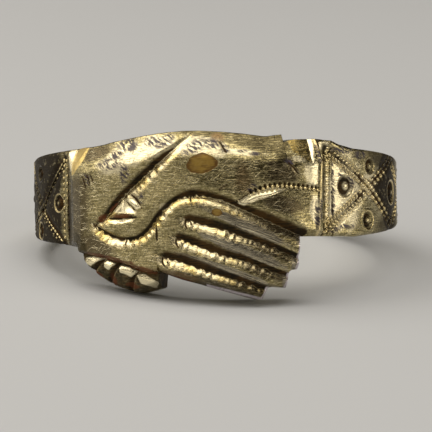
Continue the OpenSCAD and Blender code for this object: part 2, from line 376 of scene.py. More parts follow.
# %% Reading a path
def smoothed(path, step=0.12):
    """A path as one smooth line: between two points a cubic that leaves and arrives along the line
    between their neighbours, divided into stretches of about one step."""
    p = np.array([path[0], *path, path[-1]], float)
    pieces = []
    for a, b, c, d in zip(p[:-3], p[1:-2], p[2:-1], p[3:]):
        n = max(1, math.ceil(math.dist(b[:2], c[:2]) / step))
        t = (np.arange(n) / n)[:, None]
        bend, twist = 2 * a - 5 * b + 4 * c - d, 3 * b - a - 3 * c + d
        pieces.append(b + (c - a) * t / 2 + bend * t**2 / 2 + twist * t**3 / 2)
    return np.vstack([*pieces, p[-1:]])


def nearest(path, place, height, square_start=False):
    """For every point of the drawing its distance from a path, its side (1 to the left of the way
    the path runs, -1 to the right), the length run to there and the path's own depth there."""
    best = np.full(place.shape, np.inf)
    side, run, depth = np.zeros((3, *place.shape))
    length = 0
    for i, (a, b) in enumerate(zip(path[:-1], path[1:])):
        dx, dy = b[0] - a[0], b[1] - a[1]
        long = math.hypot(dx, dy)
        raw = ((place - a[0]) * dx + (height - a[1]) * dy) / long**2
        t = np.clip(raw, 0, 1)
        off_x, off_y = place - a[0] - t * dx, height - a[1] - t * dy
        far = np.hypot(off_x, off_y)
        if square_start and i == 0:
            far = np.where(raw < 0, np.inf, far)
        closer = far < best
        best = np.where(closer, far, best)
        side = np.where(closer, np.sign(dx * off_y - dy * off_x), side)
        run = np.where(closer, length + t * long, run)
        depth = np.where(closer, a[2] + t * (b[2] - a[2]), depth)
        length += long
    return best, side, run, depth


wrist_line = smoothed([(*p, 0) for p in wrist_points])
print("points of the smoothed wrist line:", len(wrist_line))

# %% [markdown]
# ## The trellis and the circles
#
# The hoop is covered by a trellis of double rows of beads. Two zigzag lines cross in the middle of
# the hoop and turn at its edges. The first crossing at each side is placed as the photograph shows
# it; the hidden rest goes round the back at an even pitch. A circle punch with a dot in its
# middle was struck into each field.

# %% Trellis lines and circle punches
first_cross, last_cross = (12.05, 0.33), (way_round - 11.15, -0.62)
crossings = 8
edge_margin = 0.24

cross_place = np.linspace(first_cross[0], last_cross[0], crossings)
cross_height = np.zeros(crossings)
cross_height[[0, -1]] = first_cross[1], last_cross[1]
field_place = (cross_place[1:] + cross_place[:-1]) / 2


def hoop_half_height(place):
    """How high the hoop's upper edge is at each place."""
    return edges(wrapped(place))[1]


def zigzag(up, start, end):
    """One trellis line: from a border through every crossing, turning at the edges in between. It
    turns first at the lower edge if up is 1 and at the upper one if it is -1."""
    corner = up * (-1.0) ** np.arange(1, crossings) * (hoop_half_height(field_place) - edge_margin)
    inner = np.empty((2 * crossings - 1, 2))
    inner[0::2] = np.column_stack([cross_place, cross_height])
    inner[1::2] = np.column_stack([field_place, corner])
    return np.vstack([start, inner, end])


trellis = [
    zigzag(1, (8.5, 2.44), (way_round - 8.1, 2.17)),
    zigzag(-1, (8.11, -2.13), (way_round - 8.2, -2.63)),
]

# Circle punches at the sides of the hands: place, height, radius
side_circles = [
    (9.89, 0.37, 0.55), (12.15, 1.48, 0.4), (11.9, -1.56, 0.45),
    (way_round - 8.75, -0.29, 0.43), (way_round - 11.42, -1.85, 0.42), (way_round - 11.3, 1.4, 0.38),
]
field_circles = [(p, 0, 0.27 * h) for p, h in zip(field_place, hoop_half_height(field_place))]
cross_circles = [
    (p, sign * 0.68 * h, 0.19 * h)
    for p, h in zip(cross_place[1:-1], hoop_half_height(cross_place[1:-1])) for sign in (1, -1)
]
circles = np.array(side_circles + field_circles + cross_circles)
print("trellis crossings:", crossings, "circle punches:", len(circles))

# %% [markdown]
# ## The carved skin
#
# The outside of the ring is one height field wrapped round the hoop: for each place and height a
# radius. It starts as the plain ring with its sloping shoulders. Each tool then takes metal away,
# so each step is a minimum of two surfaces, blended a little, because no old edge is sharp. The chisel
# left a row of small bites along each lower wall, which shows as a beaded line of light.

# %% Tools for the height field
def soft_min(a, b, blend):
    """The lower of two surfaces, rounded where they are within one blend of each other."""
    near = np.clip(1 - np.abs(a - b) / blend, 0, 1)
    return np.minimum(a, b) - near**2 * blend / 4


def hill(x):
    """A smooth bump: 1 at 0, falling as a bell to nearly nothing at 2."""
    return np.exp(-(x**2))


def ripple(place, height):
    """Slow waves of hand work: a few sines that don't repeat together, from -1 to 1."""
    return (
        np.sin(1.7 * place + 0.9 * height) + np.sin(0.83 * place - 1.9 * height + 1.3)
        + np.sin(2.9 * place + 2.3 * height + 0.4)
    ) / 3


def blank(place, height):
    """The uncarved ring: hoop radius plus the hands' share of their rise, falling back towards each
    edge as a power of the way into its slope: the square on the hoop, less on the hands. The foot is
    the slope at the lower edge, the head that at the upper."""
    low, high = edges(place)
    share = read(rise_share, place)
    foot_bend, head_bend = 2 - 0.6 * share, 2 - 0.8 * share
    foot = edge_w + (read(under_slope, place, 1) - edge_w) * share
    foot_drop = edge_drop + (read(under_slope, place, 2) - edge_drop) * share
    head = edge_w + (shoulder_h - edge_w) * share
    head_drop = edge_drop + (shoulder_drop - edge_drop) * share
    into_foot = np.clip(1 - (height - low) / foot, 0, 1)
    into_head = np.clip(1 - (high - height) / head, 0, 1)
    return hoop_r + rise * share - foot_drop * into_foot**foot_bend - head_drop * into_head**head_bend


def at_least(marks, name, value):
    """Raises a mark to a value wherever it is lower."""
    marks[name] = np.maximum(marks[name], value)


# %% Cutting a V
bite_pitch = 0.42
# How far painted shade reaches into the bites of a lower wall
shade_in_bites = 0.16
full_mark = 0.05
reach = 1.4


def carve(
    marks, path, above, below, dark, bites=0, shine=1, lips=(0.03, 0.03), square_start=False, sunk=False
):
    """A V along a path. Its bottom lies one depth below the hands' face, or, if sunk, below the
    surface that is there. Its walls rise over a width of above or below for each millimetre of
    depth, and their lips are rounded over the two blends. Bites widen the lower wall in an uneven
    wave. Painted shade fills a band of the width dark above the bottom, below it too if sunk, and
    otherwise some of each bite. The lower wall gets as much painted highlight as shine says, and so
    does the upper wall of a cut whose dark is 0."""
    line = smoothed(path)
    lo, hi = line[:, :2].min(0) - reach, line[:, :2].max(0) + reach
    near = np.nonzero(
        (marks["place"] > lo[0]) & (marks["place"] < hi[0])
        & (marks["height"] > lo[1]) & (marks["height"] < hi[1])
    )
    s, z, old = (marks[name][near] for name in ("place", "height", "r"))
    far, side, run, depth = nearest(line, s, z, square_start)
    upper = side > 0
    along = run if square_start else s
    above, below, band, biting, shining = (
        v if np.isscalar(v) else read(np.array(v), along) for v in (above, below, dark, bites, shine)
    )
    swell = 0.6 + 0.4 * np.sin(2.9 * run + 1)
    wave = np.sin(2 * math.pi * run / bite_pitch + 2.5 * np.sin(1.9 * run)) * swell
    wall = (old if sunk else hand_r) - depth + far / np.where(upper, above, below * (1 + biting / 4 * wave))
    marks["r"][near] = soft_min(old, wall, np.where(upper, *lips))
    # The marks of the lower wall run on over its rounded lip
    cut = np.clip((old - wall) / full_mark + np.where(upper, 0, lips[1] * 8), 0, 1)
    # Painted shade in a band above the bottom, below it too if sunk, and into some of each bite
    reached = np.where(upper | sunk, band, shade_in_bites * biting * (0.8 + wave))
    dirt = np.clip((reached - far) / (0.7 * reached + 0.01), 0, 1) * (cut > 0)
    # Painted highlight on the lower wall, and on both walls of a cut without a shade band
    lit = cut * (~upper | (np.isscalar(dark) and dark == 0))
    marks["shade"][near] = np.maximum(marks["shade"][near] * (1 - cut * ~upper), dirt)
    marks["chisel"][near] = np.maximum(marks["chisel"][near] * (1 - cut), lit * shining)
    marks["bites"][near] = np.where(lit > 0, lit * biting, marks["bites"][near] * (1 - cut))
    marks["run"][near] = np.where(lit > 0, run, marks["run"][near])


# %% Fingertips
tips_end = -1.27
bevel_wide, bevel_deep = 0.35, 0.25
under_palm_slope = 5
facet_deep, facet_slope = 0.6, 0.4
crest_deep, crest_below = 0.42, 0.45


def fingertips(marks):
    """Room cut below the palm, and in it the tips: a floor set back from the face, which comes
    outwards on the way down to a crest, as a nail does, and falls back below it."""
    s, uncut = marks["place"], marks["r"]
    below = read(palm_edge, s) - marks["height"]
    inside = (s > palm_edge[0, 0]) & (s < tips_end) & (below > -bevel_wide)
    bevel = hand_r - bevel_deep * np.clip(1 + below / bevel_wide, 0, 1) ** 2
    wall = hand_r - bevel_deep - below * under_palm_slope
    facet = hand_r - facet_deep + below * facet_slope
    front = hand_r - crest_deep - 0.5 * np.clip(below - crest_below, 0, 1) ** 1.5
    tips = soft_min(facet, front, 0.05)
    room = np.where(below > 0, np.maximum(wall, tips), bevel)
    marks["r"] = np.where(inside, soft_min(uncut, room, 0.03), uncut)
    # Painted shade below the palm, deeper on its wall than on the tips
    free = inside & (below > 0) & (wall < tips)
    marks["shade"] = np.where(inside & (below > 0), np.where(free, 0.58, 0.75), marks["shade"])


# %% Punches and borders
circle_groove, circle_rim, circle_dot = 0.16, 0.035, 0.06
channel_wide, channel_deep = 0.34, 0.09
trellis_from, darker_from = 7.9, 10.7
tick_off, tick_wide, tick_deep = 0.14, 0.1, 0.14

# Lines across the right border: place at mid height, and lean for each millimetre of height
ridge_line, groove_line, bead_line, stain_line = (7.56, 0.054), (8.3, 0.04), (8.53, 0.04), (8.85, 0)
left_channels = (-8.2, -7.8)
stain_top = 2.45


def punch_circles(marks):
    """For each punch a ring-shaped groove with a low rim outside and a low dome in the middle: hills
    of the distance from the punch's middle, counted in radii."""
    for p, h, radius in circles:
        rho = np.hypot(wrapped(marks["place"] - p), marks["height"] - h) / radius
        struck = rho < 2
        groove = circle_groove * hill((rho - 0.78) / 0.27) - circle_rim * hill((rho - 1.2) / 0.2)
        dot = circle_dot * hill(rho / 0.32)
        marks["r"] += np.where(struck, dot - groove, 0) * min(1, radius / 0.4)
        # Dirt and painted shade in the groove and over most of the dome; wear and painted highlight on the
        # rim and the dot
        at_least(marks, "dirt", np.where(struck, 1.1 * hill((rho - 0.65) / 0.38), 0))
        rim = np.maximum(hill((rho - 1.18) / 0.12), hill(rho / 0.22))
        at_least(marks, "wear", np.where(struck, 0.9 * rim, 0))


def punch_trellis(marks):
    """A shallow channel along each line of the trellis, where the double rows of beads lie."""
    around = np.where(marks["place"] < 0, marks["place"] + way_round, marks["place"])
    on_hoop = np.abs(marks["place"]) > trellis_from
    for line in trellis:
        far, *_ = nearest(np.column_stack([line, np.zeros(len(line))]), around, marks["height"])
        channel = hill((far / channel_wide) ** 2) * on_hoop
        marks["r"] -= channel_deep * channel
        # Dirt and painted shade along the channels, more of it from darker_from on
        at_least(marks, "dirt", channel * np.where(around < darker_from, 0.82, 0.95))


def wrist_ticks(marks):
    """Small notches above the beads of the wrist, one over each gap, darkened with painted shade."""
    s = marks["place"]
    far, side, run, _ = nearest(wrist_line, s, marks["height"])
    notched = 0.55 + 0.45 * np.cos(2 * math.pi * run / wrist_pitch)
    tick = hill((far * side - tick_off) / tick_wide) * notched
    tick = tick * (s > wrist_line[0, 0]) * (s < wrist_line[-1, 0])
    marks["r"] -= tick_deep * tick
    at_least(marks, "shade", tick)


def borders(marks):
    """At the right a raised ridge, a thin groove, a channel for beads and a darker line; at the left
    two channels for beads. The groove, the darker line and the left channels get dirt and painted
    shade, the ridge wear and painted highlight."""
    s, z = marks["place"], marks["height"]
    ridge, groove, channel, stain = (
        s - (at + lean * z) for at, lean in (ridge_line, groove_line, bead_line, stain_line)
    )
    below_top = np.clip((stain_top - z) / 0.2, 0, 1)
    raised = 0.1 * hill(ridge / 0.1) - 0.12 * hill(groove / 0.08)
    marks["r"] += raised - 0.06 * hill((channel / 0.16) ** 2)
    at_least(marks, "wear", hill(ridge / 0.12))
    at_least(marks, "dirt", hill(groove / 0.09) * below_top)
    at_least(marks, "dirt", 0.8 * hill(stain / 0.12) * below_top)
    for row in left_channels:
        marks["r"] -= 0.05 * hill(((s - row) / 0.15) ** 2)
        at_least(marks, "dirt", 0.8 * hill((s - row) / 0.2))


# %% The whole outside
# Marks: dirt with painted shade, painted shade of the cuts, wear with painted highlight, painted highlight
# of the chiselled walls, bites and run along a cut
mark_names = ("dirt", "shade", "wear", "chisel", "bites", "run")
hoop_waves, hand_waves = 0.012, 0.03


def skin(place, height):
    """The whole carved outside: a radius for every place and height, with the marks that the finish
    needs: the amounts of dirt and painted shade, of painted shade in the cuts and of wear and painted
    highlight at a spot, whether a chisel cut it, with painted highlight on its lower wall, and left bites
    there, and how far along the cut it lies. Waves of hand work only take metal away, more of it on the
    hands."""
    marks = {"place": place, "height": height, "r": blank(place, height)}
    for name in mark_names:
        marks[name] = np.zeros(place.shape)
    waves = hand_waves * read(rise_share, place) + hoop_waves
    marks["r"] += waves * (ripple(place, height) - 1)
    fingertips(marks)
    for cut in cuts:
        carve(marks, **cut)
    wrist_ticks(marks)
    borders(marks)
    punch_trellis(marks)
    punch_circles(marks)
    return marks


probe = skin(np.array([-2.0]), np.array([-0.5]))
print("radius on the face of the thumb in mm:", round(float(probe["r"][0]), 2))

# %% [markdown]
# ## The ring's surface
#
# Columns go round the ring and stand closer where the drawing changes quickly, so that each step of
# the outline is followed. In every column the rows run down the outside, inwards under the lower
# rim, up inside the bore and out again over the upper rim. Each column joins the next and the last
# joins the first, which makes one closed skin with no seam and no pole.

# %% Columns of the grid
hands_start, hands_end, sides_end = -8.5, 10.6, 17
# Longest way between two columns at the hands, beside them and round the back
cell_hands, cell_sides, cell_back = 0.078, 0.09, 0.14


def column_places():
    """Every corner of the drawing, and between two corners as many columns as the longer of the way
    along and the steps of the two edges asks for."""
    sides = (-sides_end, sides_end, way_round - sides_end)
    corners = np.unique(np.concatenate([outline[:, 0], rise_share[:, 0], under_slope[:, 0], sides]))
    parts = []
    for a, b in zip(corners[:-1], corners[1:]):
        (low_a, low_b), (high_a, high_b) = edges(np.array([a, b]))
        way = max(b - a, abs(low_b - low_a), abs(high_b - high_a))
        cell = cell_hands if a < hands_end and b > hands_start else cell_sides
        if a >= sides_end:
            way, cell = b - a, cell_back
        n = math.ceil(way / cell)
        parts.append(a + (b - a) * np.arange(n) / n)
    return np.concatenate(parts)


print("columns:", len(column_places()))


# %% Rows of the grid
outer_rows = 116
bore_round = 0.12
# Place of the gap between the curled fingertips and the long fingers
tips_gap = -1.33


def rim(edge, outward, inner_turn):
    """Radii and heights from the outer edge in to the bore: a flat rim, then a quarter of a circle."""
    flat = outward[:, None] + (bore_r + bore_round - outward[:, None]) * np.array([0.12, 0.4, 0.7])
    bend = np.radians([0, 45, 90])
    corner_r = bore_r + bore_round * (1 - np.sin(bend))
    corner_z = bore_round * (1 - np.cos(bend))
    r = np.hstack([flat, np.repeat(corner_r[None], len(edge), 0)])
    return r, np.hstack([np.repeat(edge, 3, 1), edge + inner_turn * corner_z])


def ring_grid():
    """Points of the whole skin, as columns by rows: radius times sine and cosine of the place's angle,
    and the height. With them go the marks of every point. The mark outside tells the carved rows from
    the rest, and drawn is a height that runs on past the lower edge by the length of the way."""
    place = column_places()
    place = np.where(place > way_round / 2, place - way_round, place)
    low, high = (e[:, None] for e in edges(place))
    u = np.linspace(0, 1, outer_rows)
    down = u - 0.2 * np.sin(2 * math.pi * u) / (2 * math.pi)
    height = high + (low - high) * down
    marks = skin(np.repeat(place[:, None], outer_rows, 1), height)
    outer_r = marks["r"]
    low_r, low_z = rim(low, outer_r[:, -1], 1)
    high_r, high_z = rim(high, outer_r[:, 0], -1)
    inside_z = low_z[:, -1:] + (high_z[:, -1:] - low_z[:, -1:]) * np.array([0.25, 0.5, 0.75])
    r = np.hstack([outer_r, low_r, np.full(inside_z.shape, bore_r), high_r[:, ::-1]])
    z = np.hstack([height, low_z, inside_z, high_z[:, ::-1]])
    angle = (place / hoop_r)[:, None]
    points = np.stack([r * np.sin(angle), -r * np.cos(angle), z], axis=-1)
    for name in mark_names:
        marks[name] = np.pad(marks[name], ((0, 0), (0, r.shape[1] - outer_rows)))
    # Painted shade under the gap between the curled fingertips and the long fingers
    marks["shade"][:, outer_rows:outer_rows + 5] = hill((place - tips_gap) / 0.15)[:, None]
    marks |= {"r": r, "height": z, "place": np.repeat(place[:, None], r.shape[1], 1)}
    outside = np.arange(r.shape[1]) < outer_rows + 0 * marks["place"]
    steps = np.hypot(np.diff(r, axis=1), np.diff(z, axis=1)) * ~outside[:, 1:]
    past_edge = np.pad(steps.cumsum(1), ((0, 0), (1, 0)))
    return points, marks | {"outside": outside, "drawn": np.where(outside, z, low - past_edge)}


# %% Mesh of the ring
def grid_faces(columns, rows):
    """Quads between neighbours of a grid that closes both ways, facing outwards."""
    i, j = np.meshgrid(np.arange(columns), np.arange(rows), indexing="ij")
    i2, j2 = (i + 1) % columns, (j + 1) % rows
    return np.stack([i * rows + j, i * rows + j2, i2 * rows + j2, i2 * rows + j], axis=-1).reshape(-1, 4)


ring_points, ring_marks = ring_grid()
ring = make_mesh("gilt_ring", laid(ring_points.reshape(-1, 3)), grid_faces(*ring_points.shape[:2]))
print("ring: columns and rows", ring_points.shape[:2], "triangles", 2 * len(ring.data.polygons))

# %% [markdown]
# ## The punched beads
#
# A bead is a low dome. Each row is a path, and the beads stand on it at an even pitch, turned along
# it. All of them are one mesh: one small dome of a few faces, copied by array arithmetic to every
# place and bent round the hoop with it. The dome goes a little into the metal, so nothing
# gapes, and it is closed underneath.

# %% Bead rows
def row_of_beads(path, pitch, long, wide, tall, shift=0.0, lean=0.0, start=0.5):
    """Beads at an even pitch along a path, moved sideways by shift and turned by lean: place, height,
    angle, half length, half width and height of each. The first stands the share start of a pitch
    along. The angle is that of the path, from a little behind each bead to a little ahead of it."""
    path = np.asarray(path, float)[:, :2]
    run = np.concatenate([[0], np.linalg.norm(np.diff(path, axis=0), axis=1).cumsum()])
    count = max(1, round(run[-1] / pitch))
    at = (np.arange(count) + start) * run[-1] / count
    at = at[at < run[-1]]
    point, ahead, behind = (
        np.column_stack([np.interp(at + way, run, column) for column in path.T]) for way in (0, 0.02, -0.02)
    )
    angle = np.arctan2(*(ahead - behind).T[::-1])
    point = point + shift * np.column_stack([-np.sin(angle), np.cos(angle)])
    return np.column_stack([point, angle + lean, np.tile((long, wide, tall), (len(at), 1))])


# Rows of beads: path, pitch, half length, half width, height, then shift, lean and start
rows = [
    row_of_beads(wrist_line, wrist_pitch, 0.11, 0.12, 0.14),
    row_of_beads([(8.63, 2.5), (8.42, -2.3)], 0.28, 0.1, 0.19, 0.12, lean=0.5),
    row_of_beads([(-7.83, 2.3), (-7.83, -2.4)], 0.42, 0.1, 0.08, 0.1),
    row_of_beads([(-8.22, 2.3), (-8.22, -2.4)], 0.33, 0.11, 0.09, 0.1),
]
worn_until = 11.1
bead_margin = 0.15
for line in trellis:
    start = (worn_until, np.interp(worn_until, line[:2, 0], line[:2, 1]))
    worn, crisp, faint = np.vstack([line[:1], start]), np.vstack([start, line[1:-1]]), line[-2:]
    rows.append(row_of_beads(faint, 0.3, 0.16, 0.07, 0.11))
    rows.append(row_of_beads(faint, 0.38, 0.08, 0.07, 0.09, shift=-0.22))
    for sign in (1, -1):
        rows.append(row_of_beads(worn, 0.27, 0.16, 0.095, 0.14, shift=0.15 * sign, lean=0.7 * sign))
        rows.append(row_of_beads(worn, 0.3, 0.19, 0.05, 0.1, shift=0.35 * sign))
        rows.append(row_of_beads(crisp, 0.45, 0.22, 0.16, 0.19, shift=0.19 * sign, start=0.25 * (2 + sign)))
beads = np.vstack(rows)
low_there, high_there = edges(wrapped(beads[:, 0]))
beads = beads[(beads[:, 1] > low_there + bead_margin) & (beads[:, 1] < high_there - bead_margin)]
print("beads:", len(beads))


# %% Bead mesh
def dome(around=10, levels=(-0.5, 0.25, 0.65, 0.92)):
    """A unit bead: rings at set levels on a ball, a point on top and one below."""
    turn = np.arange(around) * 2 * math.pi / around
    wide = np.sqrt(1 - np.square(levels))
    high = np.repeat(levels, around).reshape(-1, around)
    rings = np.stack([np.outer(wide, np.cos(turn)), np.outer(wide, np.sin(turn)), high], -1)
    points = np.vstack([(0, 0, -0.5), *rings, (0, 0, 1)])
    top = len(points) - 1
    k, k2 = np.arange(around), (np.arange(around) + 1) % around
    a = 1 + around * np.arange(len(levels) - 1)[:, None]
    b = a + around
    under = np.stack([0 * k, 1 + k2, 1 + k], -1)
    wall = np.stack([a + k, a + k2, b + k2, a + k, b + k2, b + k], -1).reshape(-1, 3)
    cap = np.stack([top - around + k, top - around + k2, 0 * k + top], -1)
    return points, np.vstack([under, wall, cap])


bead_seed, bead_sizes = 7, (0.85, 1.12)
hoop_beads_from, sunk_share = 8, 1.02


def bead_field(beads):
    """All beads: the unit bead scaled by each bead's half sizes, turned by its angle in the drawing,
    moved to its place, and bent round the hoop at the height of the skin there. Beads beyond the hands
    lie low enough to stay within the hoop's radius."""
    unit, unit_faces = dome()
    chance = np.random.default_rng(bead_seed)
    size = beads[:, None, 3:6] * chance.uniform(*bead_sizes, (len(beads), 1, 3))
    local = unit[None] * size
    cos, sin = np.cos(beads[:, 2])[:, None], np.sin(beads[:, 2])[:, None]
    place = beads[:, :1] + local[:, :, 0] * cos - local[:, :, 1] * sin
    height = beads[:, 1:2] + local[:, :, 0] * sin + local[:, :, 1] * cos
    home = wrapped(beads[:, 0])
    base = skin(home, beads[:, 1])["r"]
    within = np.minimum(base, hoop_r - sunk_share * size[:, 0, 2])
    base = np.where(np.abs(home) > hoop_beads_from, within, base)
    r = base[:, None] + local[:, :, 2]
    angle = place / hoop_r
    points = np.stack([r * np.sin(angle), -r * np.cos(angle), height], axis=-1).reshape(-1, 3)
    faces = (unit_faces[None] + len(unit) * np.arange(len(beads))[:, None, None]).reshape(-1, 3)
    up = np.clip(unit[None, :, 2] + 0 * place, 0, 1)
    return points, faces, place, height, r, up


bead_points, bead_faces, bead_place, bead_height, bead_r, bead_up = bead_field(beads)
bead_mesh = make_mesh("punched_beads", laid(bead_points), bead_faces)
print("bead triangles:", len(bead_mesh.data.polygons))

# %% [markdown]
# ## Where the finish changes
#
# Gilding wears off the edges and stays in the hollows, where dirt stays too; the tools above marked
# those, together with painted shade in the hollows and cuts and painted highlight on crests and lower
# walls. Stains can't be worked out, so they are listed on the drawing, and so are zones of painted
# light and shade. A stain with a soft border is an oval: place, height, half width, half height and
# any turn in degrees. A patch with a clear border is a convex polygon: places and heights of its
# corners. Both are limited to the outside, so that nothing of them runs into the bore. The oval
# "seen" is wider than the whole ring, and its long slope only serves to fade the painted shade of the
# hoop out where the photograph ends.

# %% Stains, painted light and shade as ovals
zones = {
    "amber": [(1.88, -0.98, 0.3, 0.22, -10)],
    "seen": [(0, 0, 40, 70)],
    "tarnish": [
        (-3.6, 2.35, 0.7, 0.35, 20), (-3.05, 2.82, 0.8, 0.5), (-1.2, 2.95, 1, 0.45),
        (-0.7, 3.2, 0.5, 0.3), (0.75, 2.65, 0.75, 0.45, 30), (1.7, 2.75, 0.6, 0.4, -20),
        (2.35, 2.5, 0.4, 0.35, -40), (3.25, 2.36, 0.4, 0.12), (4, 2.2, 0.4, 0.16), (3.75, 0.3, 0.3, 0.3),
        (-2.15, 0, 0.3, 0.5), (0.9, -0.47, 0.45, 0.22), (-3.95, 1.8, 0.95, 0.4), (-3, 1.3, 0.4, 0.6),
        (-5.4, 1, 0.4, 0.4), (7.62, 2.2, 0.13, 0.8), (5.7, 1.7, 0.4, 0.35), (7.35, -1.2, 0.2, 1),
        (7.6, -0.9, 0.16, 0.8), (8.9, 0.3, 0.18, 2.4), (9.6, 2.4, 1, 0.25), (11.1, 2.1, 0.7, 0.3),
        (8.9, -2.05, 0.6, 0.2), (9.9, -1.9, 0.7, 0.2), (10.4, 0.55, 0.22, 0.5, 30),
        (9.6, 1.1, 0.4, 0.2, 20),
    ],
    "copper": [
        (1.95, 3.1, 0.4, 0.4), (-0.4, -4.35, 1.6, 0.22, -15), (3.3, 0.9, 0.5, 0.9),
        (-2.85, -3.8, 0.4, 0.2),
    ],
    "rust": [
        (-2.2, -4.05, 1, 0.2, -15), (-4.2, -3.42, 1.8, 0.17, -12), (-3.3, -1.08, 0.75, 0.13, 2),
        (-3.85, -0.62, 0.5, 0.13, 42), (-4.55, -1.2, 0.3, 0.2, 40), (-0.4, -4.55, 1, 0.14, -15),
        (-5.35, -4.3, 0.5, 0.25, -25), (-4.25, -4.6, 0.3, 0.35, 20), (-3, -4.95, 0.5, 0.2, -10),
    ],
    # Pale gold, partly painted highlight along the shoulder fold and on the right of the hands and hoop
    "pale_and_highlight": [
        (-3.2, 2.1, 1.7, 0.8, 20), (-1.35, 2.8, 1.3, 0.6, 12), (0.9, 2.75, 1.3, 0.6), (2, 2.45, 0.6, 0.5),
        (2.9, 2.35, 1.5, 0.2, -6), (6.4, 1.9, 0.5, 0.2, -8), (7.1, 1.05, 0.5, 0.85), (7.2, -0.8, 0.35, 0.8),
        (9.8, 0, 1.6, 2.2), (12.1, 0.35, 1.1, 0.8), (-0.9, -0.65, 0.3, 0.3, 40), (8.3, 2.65, 0.5, 0.25),
    ],
    # Dull gold, partly painted shade on the right of the hands, on the fingers and at the left
    "dull_and_shade": [
        (1.9, 3.15, 0.42, 0.34), (5.4, -0.6, 1.4, 0.6, -15), (5.4, 1.1, 1.2, 0.6), (-6.5, -1.5, 1.5, 1.9),
        (5, 1.6, 0.6, 0.25), (4.9, -3.22, 1.9, 0.34, -22), (4.5, -4.38, 1.9, 0.34, -20),
        (3.8, -5.3, 2, 0.34, -18), (5.2, -1.9, 1.6, 0.4, -25), (-5.3, 2.45, 1.6, 0.5, 8),
        (-6.3, -0.3, 1.3, 2), (-5.4, -2.7, 2.2, 0.75, -12),
    ],
    # Painted shade on the lower faces of the fingers and at their ends
    "grey": [
        (3.4, -1.75, 2.6, 0.34, -26), (3.2, -3.1, 2.8, 0.34, -24), (2.3, -4.2, 3, 0.3, -21),
        (1.8, -5.15, 3.4, 0.4, -19), (6.3, -2.5, 0.25, 0.5), (6, -3.8, 0.25, 0.5), (5.5, -4.8, 0.25, 0.6),
    ],
    # Painted shade, mostly where the hoop turns away from the lamps
    "dark": [
        (-11.3, 1.2, 2.8, 2.6), (-13.5, -1.2, 1.8, 1.8), (-7.5, -1.4, 0.5, 1.9),
        (14.2, 2.1, 2.6, 1.1), (14.8, -2, 2.6, 0.9),
    ],
}

# %% Patches as polygons
shapes = {
    "stain": [[
        (0.33, 1.67), (0.37, 1.44), (0.63, 1.21), (1.18, 1.14), (1.62, 1.3), (1.95, 1.58), (2, 1.85),
        (1.72, 2.15), (1.18, 2.36), (0.55, 2.12),
    ]],
    # Painted shade on strips of the top edge, the left border and the foot of the fingers
    "dim": [
        [(-2.2, 3.4), (0.6, 3.2), (2.3, 2.9), (2.3, 4), (-2.2, 4)],
        [(1.3, 3.75), (2.3, 2.9), (3.7, 2.44), (5.6, 2.1), (5.6, 3.75)],
        [(3.6, 2.6), (4.4, 2.26), (6.4, 2.3), (6.65, 3.5), (3.6, 3.75)],
        [(5, 2.4), (5.1, 1.55), (6, 1.5), (6.15, 2.3)],
        [(-7.9, -2.9), (-6.75, -2.9), (-6.6, 0.9), (-7.2, 1.7), (-7.9, 1.9)],
        [(-7.9, -3), (-5.4, -3.3), (-5.5, -2.6), (-6.2, -1.9), (-7.9, -1.8)],
        [(-0.6, -4.8), (4.3, -6.1), (4.5, -5.35), (-0.4, -4.05)],
    ],
    # The hoop beside the hands, darkened with painted shade
    "panel": [
        [(-19, -2.9), (-8.35, -2.9), (-8.35, 2.9), (-19, 2.9)],
        [(12.35, 0.38), (14.5, -2.2), (19, -2.9), (19, 2.9), (14.3, 2.4)],
    ],
    # Facets with painted highlight: the two cuffs, four fingertips, the nail and the wrist
    "highlit_facets": [
        [(-7.75, 2.9), (-7.2, 1.7), (-6.87, 1.06), (-7.16, 2.9)],
        [(7.32, 3.3), (7.1, 2.15), (7.12, 1.5), (7.39, 2.15), (7.58, 3.3)],
        [(-6, -3.3), (-5.95, -3.68), (-5.6, -3.86), (-4.75, -3.4)],
        [(-4.64, -3.5), (-4.62, -3.9), (-4.4, -4.08), (-3.85, -3.72)],
        [(-3.75, -3.83), (-3.62, -4.22), (-2.95, -4.5), (-2.62, -4.18), (-3.1, -3.89)],
        [(-2.65, -4.35), (-2.35, -4.85), (-1.65, -5.12), (-1.42, -4.78), (-2.15, -4.32)],
        [(-3.04, -0.15), (-2.35, -0.72), (-2.11, -0.68), (-2.59, -0.1)],
        [(-3.9, -0.85), (-2.4, -1), (-3.13, -0.28), (-3.28, -0.33)],
        [(-4.15, -1.36), (-3.6, -1.54), (-2.5, -1.41), (-2.45, -1.21)],
        [(2.95, -0.48), (3.32, -0.6), (3.97, -0.38), (4.15, 0.15), (3.58, -0.05)],
        [(3.93, -0.4), (5.45, 0.18), (4.99, 0.34), (4.08, 0.17)],
    ],
    # Lilac painted highlight along the ends of the fingers and their lower edge
    "rim": [
        [(6.08, -4.15), (6.2, -4.25), (6.45, -2.4), (6.32, -2.45)],
        [(5.42, -5.2), (5.56, -5.3), (5.75, -4.4), (5.58, -4.4)],
        [(4.12, -5.8), (4.26, -5.9), (4.58, -5.15), (4.42, -5.15)],
        [(1.3, -5.05), (4.2, -5.88), (4.2, -5.77), (1.3, -4.95)],
    ],
    "golden": [[(-6.85, 1.2), (-6.5, 1.25), (-5.97, 2.02), (-5.9, 3), (-7.1, 3)]],
    "ochre": [[(6, 3.3), (6.1, 2.3), (7.1, 1.6), (7.3, 3.3)]],
}
print("ovals:", {name: len(ovals) for name, ovals in zones.items()})
print("polygons:", {name: len(polygons) for name, polygons in shapes.items()})


